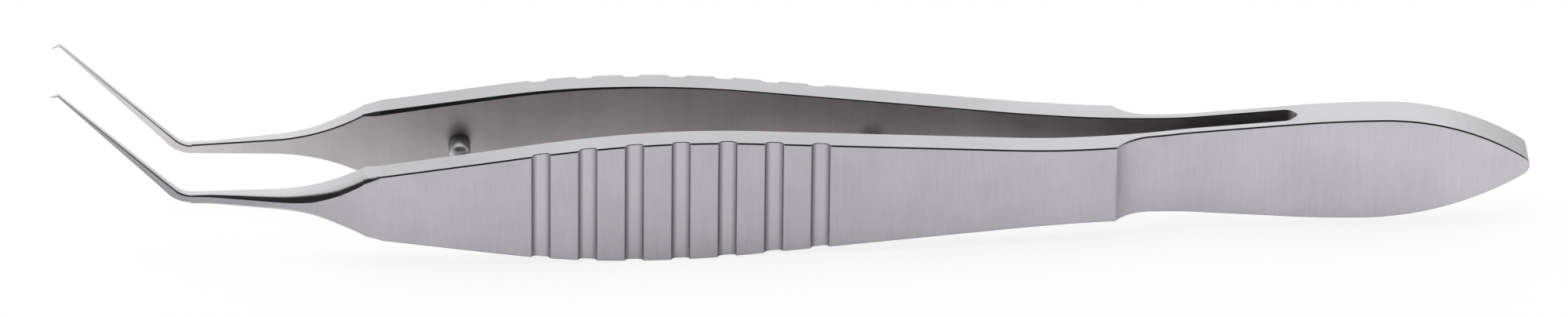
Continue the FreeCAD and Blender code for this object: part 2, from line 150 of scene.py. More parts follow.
@dataclass(frozen=True)
class BrushedSteel:
    """Stainless steel with the fine parallel lines of a belt or a brush.

    The grain runs along the axis with the longest line length, and it lightens and darkens the steel a
    little from line to line and turns its gloss by a hair.
    """

    name: str
    colour: str
    roughness: float
    line_pitch: float = 0.22
    line_length: tuple[float, float, float] = (0.0, 6.0, 9.0)
    contrast: float = 0.06
    relief: float = 0.0012
    cloud_size: float = 9.0
    cloud_contrast: float = 0.04
    roughness_swing: float = 0.05
    coarse_share: float = 1.0

    def material(self) -> bpy.types.Material:
        """Builds the material.

        Returns:
            The new material.
        """
        made = bpy.data.materials.new(self.name)
        made.use_nodes = True
        tree = made.node_tree
        tree.nodes.clear()
        place = add_node(tree, "ShaderNodeTexCoord").outputs["Object"]
        scale = [1 / ((length or self.line_pitch) * MM) for length in self.line_length]
        lines = self.pattern(tree, place, scale, detail=2.0)
        coarse = self.pattern(tree, place, [value / COARSE_RATIO for value in scale], detail=1.0)
        clouds = self.pattern(tree, place, [1 / (self.cloud_size * MM)] * 3, detail=3.0)
        grain = add_node(tree, "ShaderNodeMath", {"operation": "MULTIPLY_ADD"}, {
            0: coarse, 1: self.coarse_share, 2: lines}).outputs[0]
        low = NOISE_MIDDLE * (1 + self.coarse_share) - GRAIN_REACH
        high = low + 2 * GRAIN_REACH
        grain_shade = self.spread(tree, grain, low, high, 1 - self.contrast, 1 + self.contrast)
        cloud_shade = self.spread(tree, clouds, NOISE_MIDDLE - CLOUD_REACH, NOISE_MIDDLE + CLOUD_REACH,
                                  1 - self.cloud_contrast, 1 + self.cloud_contrast)
        worked = add_node(tree, "ShaderNodeMath", {"operation": "MULTIPLY"}, {0: grain_shade, 1: cloud_shade})
        # Painted light and shade: the mesh's tone attribute darkens or lightens the worked steel
        tone = add_node(tree, "ShaderNodeAttribute", {"attribute_name": PAINTED_SHADING}).outputs["Fac"]
        shade = add_node(tree, "ShaderNodeMath", {"operation": "MULTIPLY"}, {0: worked.outputs[0], 1: tone})
        colour = add_node(tree, "ShaderNodeVectorMath", {"operation": "SCALE"},
                          {0: linear(self.colour)[:3], "Scale": shade.outputs[0]})
        roughness = self.spread(tree, grain, low, high, self.roughness - self.roughness_swing,
                                self.roughness + self.roughness_swing)
        bump = add_node(tree, "ShaderNodeBump", {}, {"Height": grain, "Distance": self.relief * MM})
        steel = add_node(tree, "ShaderNodeBsdfPrincipled", {}, {
            "Base Color": colour.outputs[0], "Metallic": 1.0, "Roughness": roughness,
            "Normal": bump.outputs[0]})
        add_node(tree, "ShaderNodeOutputMaterial", {}, {"Surface": steel.outputs[0]})
        return made

    @staticmethod
    def pattern(tree: bpy.types.NodeTree, place: bpy.types.NodeSocket, scale: list[float],
                detail: float) -> bpy.types.NodeSocket:
        """Adds a noise that is stretched by one scale for each axis.

        Args:
            tree: Node tree of the material.
            place: Socket with the coordinates.
            scale: Cells per metre along each axis.
            detail: Number of finer layers.

        Returns:
            Socket with the noise, about 0.5 in the middle.
        """
        stretched = add_node(tree, "ShaderNodeMapping", {}, {"Vector": place, "Scale": scale})
        noise = add_node(tree, "ShaderNodeTexNoise", {}, {
            "Vector": stretched.outputs[0], "Scale": 1.0, "Detail": detail, "Roughness": NOISE_ROUGHNESS})
        return noise.outputs["Fac"]

    @staticmethod
    def spread(tree: bpy.types.NodeTree, value: bpy.types.NodeSocket, low: float, high: float,
               to_low: float, to_high: float) -> bpy.types.NodeSocket:
        """Maps a pattern's range to another range.

        Args:
            tree: Node tree of the material.
            value: Socket with the pattern.
            low: Pattern value that becomes to_low.
            high: Pattern value that becomes to_high.
            to_low: Result at low.
            to_high: Result at high.

        Returns:
            Socket with the mapped value.
        """
        mapped = add_node(tree, "ShaderNodeMapRange", {}, {
            "Value": value, "From Min": low, "From Max": high, "To Min": to_low, "To Max": to_high})
        return mapped.outputs[0]


@dataclass(frozen=True)
class Line:
    """Straight run of a profile, up to the station where it ends."""

    start: Vector
    end: Vector

    @property
    def until(self) -> float:
        """Station where the run ends."""
        return self.end.x

    def height(self, station: float) -> float:
        """Height of the run at a station."""
        share = (station - self.start.x) / (self.end.x - self.start.x)
        return self.start.y + (self.end.y - self.start.y) * share


@dataclass(frozen=True)
class Bow:
    """Round run of a profile, on the upper side of a circle for side 1 and on the lower side for -1."""

    centre: Vector
    radius: float
    side: int
    until: float

    def height(self, station: float) -> float:
        """Height of the run at a station."""
        away = station - self.centre.x
        return self.centre.y + self.side * math.sqrt(max(self.radius ** 2 - away ** 2, 0.0))


@dataclass(frozen=True)
class Profile:
    """Chain of straight and round runs, each of which goes on from the one before."""

    runs: tuple[Line | Bow, ...]

    def height(self, station: float) -> float:
        """Height of the chain at a station.

        Args:
            station: Distance from the rear end of the tail.

        Returns:
            The height of the run that holds the station, or of the last run beyond the end.
        """
        for run in self.runs:
            if station <= run.until:
                return run.height(station)
        return self.runs[-1].height(station)

    def slope(self, station: float) -> float:
        """Rise of the chain for each mm of station."""
        ahead = self.height(station + SLOPE_STEP)
        return (ahead - self.height(station - SLOPE_STEP)) / (2 * SLOPE_STEP)

    @classmethod
    def rounded(cls, points: list[Vector], radii: list[float]) -> "Profile":
        """Makes a chain through points, with each inner corner rounded by a tangent arc.

        Args:
            points: Corners, with their stations in rising order.
            radii: Radius at each inner corner.

        Returns:
            The chain.
        """
        runs: list[Line | Bow] = []
        start = points[0]
        for before, corner, after, radius in zip(points, points[1:], points[2:], radii):
            back = (before - corner).normalized()
            ahead = (after - corner).normalized()
            half_turn = (math.pi - back.angle(ahead)) / 2
            inward = (back + ahead).normalized()
            tangent = radius * math.tan(half_turn)
            runs.append(Line(start, corner + back * tangent))
            side = 1 if inward.y < 0 else -1
            start = corner + ahead * tangent
            runs.append(Bow(corner + inward * (radius / math.cos(half_turn)), radius, side, start.x))
        runs.append(Line(start, points[-1]))
        return cls(tuple(runs))


def circle_to_circle(lower: Vector, lower_radius: float, upper: Vector,
                     upper_radius: float) -> tuple[Vector, Vector]:
    """Finds where the line touches that runs over the lower circle and under the upper one.

    Args:
        lower: Middle of the lower circle.
        lower_radius: Radius of the lower circle.
        upper: Middle of the upper circle.
        upper_radius: Radius of the upper circle.

    Returns:
        The touching points on the lower and on the upper circle.
    """
    across = upper - lower
    lean = math.atan2(across.x, across.y)
    turn = math.acos((lower_radius + upper_radius) / across.length)
    angle = lean - math.copysign(turn, lean)
    toward = Vector((math.sin(angle), math.cos(angle)))
    return lower + toward * lower_radius, upper - toward * upper_radius


def circle_to_point(point: Vector, centre: Vector, radius: float) -> Vector:
    """Finds where the upper tangent from a point beside a circle touches it.

    Args:
        point: Point beside the circle.
        centre: Middle of the circle.
        radius: Radius of the circle.

    Returns:
        The touching point.
    """
    away = point - centre
    lean = math.atan2(away.x, away.y)
    angle = lean - math.copysign(math.acos(radius / away.length), lean)
    return centre + Vector((math.sin(angle), math.cos(angle))) * radius


def between(places: Table, station: float) -> float:
    """Value at a station on the straight lines through a table, level beyond its ends.

    Args:
        places: Pairs of station and value, with the stations in rising order.
        station: Distance from the rear end of the tail.

    Returns:
        The value.
    """
    if station <= places[0][0]:
        return places[0][1]
    for (start, low), (end, high) in zip(places, places[1:]):
        if station <= end:
            return low + (high - low) * (station - start) / (end - start)
    return places[-1][1]


@dataclass(frozen=True)
class SideOutline:
    """Side view of tail and grip: heights of the upper and the lower edge over the long axis."""

    crown_at: float = 10.5
    belly_at: float = 11.9
    waist_at: float = 30.75
    grip_crown_at: float = 60.9
    shoulder_at: float = 82.7
    tail_width: float = 7.98
    waist_width: float = 6.03
    grip_width: float = 9.46
    shoulder_width: float = 4.90
    tail_crown_radius: float = 82.0
    waist_radius: float = 88.0
    grip_crown_radius: float = 80.0
    end_radius: float = 0.85
    end_rise: float = 0.18
    tail_rise: float = 0.02
    waist_drop: float = 0.07

    def half(self, side: int) -> Profile:
        """Chain of one edge, from the rear end to the shoulder.

        Args:
            side: 1 for the upper edge and -1 for the lower one.

        Returns:
            The chain of distances from the long axis.
        """
        widest_at = self.crown_at if side > 0 else self.belly_at
        end_rise = side * self.end_rise
        crown = Vector((self.grip_crown_at, self.grip_width / 2 - self.grip_crown_radius))
        waist = Vector((self.waist_at, self.waist_width / 2 - side * self.waist_drop + self.waist_radius))
        tail_top = Vector((widest_at, self.tail_width / 2 + side * self.tail_rise))
        tail = tail_top - Vector((0.0, self.tail_crown_radius))
        shoulder = Vector((self.shoulder_at, self.shoulder_width / 2))
        tail_front, waist_rear = circle_to_circle(tail, self.tail_crown_radius, waist, self.waist_radius)
        crown_rear, waist_front = circle_to_circle(crown, self.grip_crown_radius, waist, self.waist_radius)
        crown_front = circle_to_point(shoulder, crown, self.grip_crown_radius)
        end = Vector((self.end_radius, end_rise))
        rise = tail_top.y - end_rise
        nose_radius = ((widest_at ** 2 - 2 * widest_at * self.end_radius + rise ** 2)
                       / (2 * (rise - self.end_radius)))
        nose = tail_top - Vector((0.0, nose_radius))
        nose_end = nose + (end - nose).normalized() * nose_radius
        return Profile((
            Bow(end, self.end_radius, 1, nose_end.x),
            Bow(nose, nose_radius, 1, widest_at),
            Bow(tail, self.tail_crown_radius, 1, tail_front.x),
            Line(tail_front, waist_rear),
            Bow(waist, self.waist_radius, -1, waist_front.x),
            Line(waist_front, crown_rear),
            Bow(crown, self.grip_crown_radius, 1, crown_front.x),
            Line(crown_front, shoulder)))


@dataclass(frozen=True)
class Neck:
    """Slim neck ahead of the shoulder, and the shaft that is bent up from it.

    A height limit is a share of the half width there, and a depth limit a share of the thickness. A stage of
    the beak gives how far along it is, what it keeps of the shaft's lean, and its width over the tip's.
    """

    thin_at: float = 93.5
    bend_at: float = 95.7
    taper_at: float = 84.4
    width: float = 0.82
    root_width: float = 0.64
    radius: float = 13.7
    root_thickness: float = 0.67
    angle: float = 45.0
    shaft_length: float = 11.9
    bend_radius: float = 2.0
    tip_width: float = 0.12
    tip_thickness: float = 0.32
    beak_length: float = 0.56
    beak_drop: float = 0.20
    beak_point: float = 0.05
    facet_at: float = 81.5
    bevel_heights: Table = (
        (81.5, 0.09), (82.7, 0.42), (85.2, 0.54), (86.4, 0.60), (87.4, 0.52), (88.5, 0.44), (90.8, 0.32),
        (93.0, 0.22), (94.9, 0.12))
    bevel_spread: float = 1.45
    bevel_height_limit: float = 0.8
    bevel_depth_limit: float = 0.5
    roll_run: float = 1.2
    inner_break_limit: float = 0.25
    shaft_bevel: float = 0.12
    shaft_bevel_spread: float = 1.5
    shaft_height_limit: float = 0.45
    shaft_depth_limit: float = 0.3
    # Factor on the shaft bevel's colour by lean in degrees: a painted dark line where the leaning bevel no
    # longer mirrors the dark card
    painted_dark_line: Table = ((0.0, 1.0), (30.0, 0.14))
    bend_steps: int = 10
    shaft_steps: int = 12
    beak_stages: tuple[tuple[float, float, float], ...] = ((0.35, 0.35, 0.85), (1.0, 0.0, 0.28))

    def half_width(self, station: float, side: SideOutline) -> float:
        """Works out the neck's concave arc from the shoulder, tangent to the taper ahead of it.

        Args:
            station: Station between the shoulder and the bend.
            side: Side outline that gives the shoulder.

        Returns:
            The half width.
        """
        slope = (self.width - self.root_width) / 2 / (self.bend_at - self.thin_at)
        lean = math.atan(slope)
        root = self.root_width / 2
        reach = self.bend_at - side.shoulder_at
        height = (side.shoulder_width / 2 - root - slope * reach) * math.cos(lean)
        run = math.sqrt(2 * self.radius * height - height ** 2)
        foot = reach / math.cos(lean) + height * math.tan(lean) - run
        along = (self.bend_at - station) / math.cos(lean)
        rise = self.radius - math.sqrt(self.radius ** 2 - max(along - foot, 0.0) ** 2)
        return root + slope * (self.bend_at - station) + rise / math.cos(lean)


@dataclass(frozen=True)
class PaintedShading:
    """Painted light and shade of a section's surfaces, each a factor on the colour of its steel."""

    face: float
    inside: float
    inside_top: float
    edge: float
    breaks: float

    def corners(self) -> list[float]:
        """Lists the painted light and shade of the section's corners.

        Returns:
            The tones in the order of the section's outline.
        """
        shares = [step / (BREAK_STEPS - 1) for step in range(1, BREAK_STEPS)]
        graded = [self.edge + (self.breaks - self.edge) * share for share in shares]
        upper = [self.edge] * 2 + graded + [self.face]
        return [self.inside, self.inside_top] + upper + upper[::-1]


@dataclass(frozen=True)
class Section:
    """Closed section of a blade: a bar with broken edges, square to the long axis or leaning with the shaft.

    Heights are over the section's origin and depths are distances from the plane between the blades.
    """

    along: float
    rise: float
    lean: float
    top: float
    bottom: float
    inner: float
    outer: float
    inner_break: float
    break_height: float
    break_depth: float
    surfaces: dict[Surface, Surface]
    rolled: float
    tones: PaintedShading

    @property
    def roll_share(self) -> float:
        """Place of the curve's control point between the outer face and the start of the break."""
        return PLAIN_SHARE - ROLL_PULL * self.rolled

    @property
    def flat_share(self) -> float:
        """Share of a chamfer's even fall that the curve keeps: all of it when plain, nothing when rolled."""
        return 1 - self.rolled

    def outline(self) -> list[tuple[float, float]]:
        """Lists the section's corners, from the lower end of the inner face upwards.

        Returns:
            The corners as pairs of depth and height.
        """
        small = self.inner_break
        upper = self.broken_edge(self.top, -1)
        lower = self.broken_edge(self.bottom, 1)
        inner = [(self.inner, self.bottom + small), (self.inner, self.top - small),
                 (self.inner + small, self.top)]
        return inner + upper + lower[::-1] + [(self.inner + small, self.bottom)]

    def broken_edge(self, level: float, toward: int) -> list[tuple[float, float]]:
        """Corners of one outer edge, from the upper or lower face to the outer face.

        A plain break is a chamfer. A rolled one leaves the upper or lower face without a corner and meets
        the outer face at a crisp line.

        Args:
            level: Height of the upper or the lower face.
            toward: Direction of the section's middle, 1 for up.

        Returns:
            The corners as pairs of depth and height.
        """
        foot = self.break_depth * self.roll_share
        points = []
        for step in range(BREAK_STEPS + 1):
            share = step / BREAK_STEPS
            across = (1 - share) ** 2 * self.break_depth + 2 * share * (1 - share) * foot
            fall = (share ** 2 + share * (1 - share) * self.flat_share) * self.break_height
            points.append((self.outer - across, level + toward * fall))
        return points

    def place(self) -> list[Vector]:
        """Places the section's corners, with the blade on the +Y side.

        Returns:
            The corners in the frame, in mm.
        """
        up = Vector((math.sin(self.lean), 0.0, math.cos(self.lean)))
        origin = Vector((self.along, 0.0, self.rise))
        return [origin + up * height + Vector((0.0, depth, 0.0)) for depth, height in self.outline()]


class Sweep:
    """Closed mesh that is made by extruding one section from place to place."""

    def __init__(self, sections: list[Section]) -> None:
        """Sweeps through the sections and caps both ends.

        Args:
            sections: Sections from the rear to the front.
        """
        self.mesh = bmesh.new()
        # Each corner carries painted light and shade as its tone
        self.tone = self.mesh.verts.layers.float.new(PAINTED_SHADING)
        made = bmesh.ops.create_circle(self.mesh, cap_ends=True, segments=len(SIDES), radius=1.0)
        self.ring: list[bmesh.types.BMVert] = list(made["verts"])
        self.shape(sections[0])
        for section in sections[1:]:
            self.extend(section)
        self.mesh.faces.new(self.ring)

    def shape(self, section: Section) -> None:
        """Moves the open ring onto a section's corners and gives it the section's painted light and shade.

        Args:
            section: Section that the ring takes.
        """
        for vertex, point, tone in zip(self.ring, section.place(), section.tones.corners()):
            vertex.co = point * MM
            vertex[self.tone] = tone

    def extend(self, section: Section) -> None:
        """Extrudes the open ring to the next section.

        Args:
            section: Next section.
        """
        order = {vertex: index for index, vertex in enumerate(self.ring)}
        edges = [self.mesh.edges.get(pair) for pair in zip(self.ring, self.ring[1:] + self.ring[:1])]
        made = bmesh.ops.extrude_edge_only(self.mesh, edges=edges)["geom"]
        fresh = {item for item in made if isinstance(item, bmesh.types.BMVert)}
        for face in (item for item in made if isinstance(item, bmesh.types.BMFace)):
            held = sorted(order[vertex] for vertex in face.verts if vertex in order)
            side = SIDES[held[0] if held[1] - held[0] == 1 else held[1]]
            face.material_index = section.surfaces.get(side, side)
        self.ring = [next(edge.other_vert(vertex) for edge in vertex.link_edges
                          if edge.other_vert(vertex) in fresh) for vertex in self.ring]
        self.shape(section)

    def finish(self, name: str, materials: list[bpy.types.Material]) -> bpy.types.Object:
        """Turns the mesh into an object.

        Args:
            name: Name of the object.
            materials: Materials in the order of the surfaces.

        Returns:
            The new object, linked to the scene.
        """
        bmesh.ops.recalc_face_normals(self.mesh, faces=self.mesh.faces[:])
        return finish_mesh(self.mesh, name, materials)


def finish_mesh(mesh: bmesh.types.BMesh, name: str, materials: list[bpy.types.Material],
                sharp: float = BLADE_CRISP) -> bpy.types.Object:
    """Writes a bmesh to a new object with smooth shading between its crisp edges.

    An edge is crisp where its faces meet at a wide angle, and where two flat surfaces of different finish
    meet at a smaller one, so that a narrow edge break doesn't round the wide faces beside it.

    Args:
        mesh: Finished mesh, which is freed.
        name: Name of the object.
        materials: Materials in the order of the faces' material numbers.
        sharp: Angle in degrees over which an edge stays crisp.

    Returns:
        The new object, linked to the scene.
    """
    for face in mesh.faces:
        face.smooth = True
    for edge in mesh.edges:
        angle = math.degrees(edge.calc_face_angle(0.0))
        finishes = {face.material_index for face in edge.link_faces}
        edge.smooth = angle < (FINISH_CRISP if len(finishes) > 1 else sharp)
    data = bpy.data.meshes.new(name)
    mesh.to_mesh(data)
    mesh.free()
    for material in materials:
        data.materials.append(material)
    made = bpy.data.objects.new(name, data)
    bpy.context.scene.collection.objects.link(made)
    return made


@dataclass(frozen=True)
class Grooves:
    """Row of grooves that is milled across the outer face of a grip.

    A wall's painted shade is what its darkest line lacks in tone, and the dark share is how much of the wall
    the change from the floor to that line takes. The land's rim beside a groove gets painted shade too.
    """

    first_at: float = 50.5
    count: int = 7
    pitch: float = 3.3
    width: float = 1.31
    depth: float = 0.30
    wall: float = 0.42
    lean: float = 0.9983
    # Painted shade: how far the front wall, the rear wall and the land's rim are darkened
    front_wall_shade: float = 0.52
    rear_wall_shade: float = 0.39
    dark_share: float = 0.72
    rim_width: float = 0.13
    rim_drop: float = 0.045
    rim_shade: float = 0.22

    def centres(self) -> list[float]:
        """Stations of the grooves' middles."""
        return [self.first_at + index * self.pitch * self.lean for index in range(self.count)]

    def away(self, station: float) -> float:
        """Distance of a station from the middle of the nearest groove."""
        return min(abs(station - centre) for centre in self.centres()) / self.lean

    def cut(self, station: float) -> float:
        """Works out how deep the groove is at a station.

        Args:
            station: Distance from the rear end of the tail.

        Returns:
            The depth, or 0 on the land between grooves.
        """
        away = self.away(station)
        if away >= self.width / 2:
            return self.rim_drop * max(1 - (away - self.width / 2) / self.rim_width, 0.0) ** 2
        share = max(away - (self.width / 2 - self.wall), 0.0) / self.wall
        return self.rim_drop + (self.depth - self.rim_drop) * math.sqrt(1 - share ** 2)

    def tone(self, station: float) -> float:
        """Works out the groove's tone: painted shade on its walls, deeper towards the rim and on the front
        wall, fading out across the land's rim.

        Args:
            station: Distance from the rear end of the tail.

        Returns:
            The tone as a factor on the face's own.
        """
        away = self.away(station)
        if away >= self.width / 2:
            return 1 - self.rim_shade * max(1 - (away - self.width / 2) / self.rim_width, 0.0)
        nearest = min(self.centres(), key=lambda centre: abs(station - centre))
        shade = self.front_wall_shade if station > nearest else self.rear_wall_shade
        share = min(max(away - (self.width / 2 - self.wall), 0.0) / self.wall / self.dark_share, 1.0)
        return 1 - shade * share ** 2 * (3 - 2 * share)

    def stations(self) -> list[float]:
        """Lists the stations that the grooves' round walls and rims need.

        Returns:
            The stations, groove by groove.
        """
        beyond = [self.wall * (math.sin(math.pi / 2 * step / GROOVE_STEPS) - 1)
                  for step in range(GROOVE_STEPS + 1)]
        beyond += [self.rim_width * step / RIM_STEPS for step in range(1, RIM_STEPS + 1)]
        places = []
        for centre in self.centres():
            for distance in beyond:
                away = (self.width / 2 + distance) * self.lean
                places += [centre - away, centre + away]
            places.append(centre)
        return places


@dataclass(frozen=True)
class BladePlan:
    """Plan, thickness and painted tones of one sprung blade, from the slot's end to the shaft's bend.

    Every tone is painted light and shade, a factor on the colour of the steel. The inner face's chain runs
    past both ends of the blade by the overrun.
    """

    side: SideOutline = field(default_factory=SideOutline)
    neck: Neck = field(default_factory=Neck)
    grooves: Grooves = field(default_factory=Grooves)
    leaf_from: float = 17.6
    leaf_bend_at: float = 24.4
    step_at: float = 29.5
    grip_bend_at: float = 34.1
    front_bend_at: float = 70.3
    slot_width: float = 1.46
    leaf_thickness: float = 0.67
    grip_thickness: float = 1.87
    gap_at_grip_bend: float = 3.11
    gap_at_front_bend: float = 7.25
    gap_at_shoulder: float = 7.20
    gap_at_shaft_bend: float = 6.27
    gap_at_tips: float = 6.80
    leaf_bend_radius: float = 15.0
    grip_bend_radius: float = 60.0
    front_bend_radius: float = 150.0
    step_radius: float = 3.2
    edge_break: float = 0.09
    leaf_inner_break: float = 0.07
    neck_inner_break: float = 0.09
    inner_breaks: Table = (
        (56.0, 0.07), (62.0, 0.09), (74.0, 0.19), (81.8, 0.25), (82.9, 0.09))
    # Painted light and shade by station, as factors on the steel: on all of it (lighter at the tail, darker
    # along the grip), on the outer face (painted shade on neck and shaft), on the inner face (painted light
    # where the gap between the blades renders too dark), on the upper part of the inner face (painted shade)
    # and on the edges (painted shade at the rear end and the front of the grip, painted light on the neck)
    painted_shading_along: Table = (
        (0.0, 1.0), (10.0, 0.98), (18.0, 0.93), (34.0, 0.89), (50.0, 0.82), (62.0, 0.84), (76.0, 0.87))
    face_tones: Table = ((82.0, 1.0), (86.0, 0.86), (91.0, 0.70), (96.0, 0.70))
    inside_tones: Table = (
        (31.0, 1.05), (39.0, 1.20), (47.0, 1.32), (55.0, 1.34), (66.0, 1.18), (73.0, 1.0), (78.0, 0.93),
        (85.0, 1.0), (92.0, 1.18))
    inside_shades: Table = ((56.0, 0.68), (68.0, 0.75), (78.0, 1.0))
    edge_tones: Table = (
        (0.0, 0.70), (2.0, 0.79), (6.0, 0.97), (10.0, 0.97), (18.0, 1.0), (68.0, 1.0), (76.0, 0.89),
        (82.0, 0.95), (88.0, 1.10))
    least_break: float = 0.04
    least_cut: float = 0.001
    overrun: float = 1.0
    spacing: float = 0.5
    cut_clearance: float = 0.12
    step_reach: float = 0.8
    step_stations: int = 10

    @property
    def half_length(self) -> float:
        """Distance from the origin to the rear end of the tail."""
        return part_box("tail")[1].x / MM

    @property
    def axis_height(self) -> float:
        """Height of the long axis over the floor."""
        return self.side.grip_width / 2

    def inner_break(self, station: float) -> float:
        """Width of the inner edges' break, which grows towards the shoulder and is small on the neck."""
        return between(self.inner_breaks, station)

    def tones(self, station: float) -> PaintedShading:
        """Painted light and shade of the steel, which differ a little from stretch to stretch.

        Args:
            station: Distance from the rear end of the tail.

        Returns:
            The painted light and shade of all surfaces there.
        """
        steel = between(self.painted_shading_along, station)
        inside = steel * between(self.inside_tones, station)
        return PaintedShading(steel * between(self.face_tones, station), inside,
                     inside * between(self.inside_shades, station), steel * between(self.edge_tones, station),
                     steel)

    def inner_profile(self) -> Profile:
        """Makes the inner face of the blade in plan, from the slot to the shaft's bend.

        Returns:
            The chain of distances from the middle plane.
        """
        points = [Vector((self.leaf_from - self.overrun, self.slot_width / 2)),
                  Vector((self.leaf_bend_at, self.slot_width / 2)),
                  Vector((self.grip_bend_at, self.gap_at_grip_bend / 2)),
                  Vector((self.front_bend_at, self.gap_at_front_bend / 2)),
                  Vector((self.side.shoulder_at, self.gap_at_shoulder / 2)),
                  Vector((self.neck.bend_at + self.overrun, self.gap_at_shaft_bend / 2))]
        radii = [self.leaf_bend_radius, self.grip_bend_radius, self.front_bend_radius, self.front_bend_radius]
        return Profile.rounded(points, radii)

    def thickness(self, station: float) -> float:
        """Works out the thickness of leaf, step, grip and neck, without the grooves.

        Args:
            station: Distance from the rear end of the tail.

        Returns:
            The thickness there.
        """
        rise = self.grip_thickness - self.leaf_thickness
        run = math.sqrt(self.step_radius ** 2 - (self.step_radius - rise) ** 2)
        beyond = station - (self.step_at - run)
        if beyond <= 0:
            return self.leaf_thickness
        if station < self.step_at:
            return self.leaf_thickness + self.step_radius - math.sqrt(self.step_radius ** 2 - beyond ** 2)
        share = (station - self.neck.taper_at) / (self.neck.thin_at - self.neck.taper_at)
        thinned = (self.grip_thickness - self.neck.root_thickness) * min(max(share, 0.0), 1.0)
        return self.grip_thickness - thinned

    def stations(self) -> list[float]:
        """Lists the stations of the sections from the leaf to the start of the shaft's bend.

        Returns:
            The stations in rising order.
        """
        end = self.neck.bend_at - self.neck.bend_radius * math.tan(math.radians(self.neck.angle) / 2)
        count = round((end - self.leaf_from) / self.spacing)
        even = [self.leaf_from + (end - self.leaf_from) * step / count for step in range(count + 1)]
        cuts = self.grooves.stations()
        clear = [place for place in even if all(abs(place - cut) > self.cut_clearance for cut in cuts)
                 and self.grooves.away(place) > self.grooves.width / 2]
        step_run = self.step_radius * self.step_reach
        round_step = [self.step_at - step_run * share / self.step_stations
                      for share in range(self.step_stations + 1)]
        facet_at = self.neck.facet_at
        crisp = [self.step_at + CRISP_STEP, self.side.shoulder_at, facet_at, facet_at + 2 * CRISP_STEP,
                 self.neck.taper_at, self.inner_breaks[-2][0], self.inner_breaks[-1][0]]
        return sorted(set(clear + cuts + round_step + crisp))


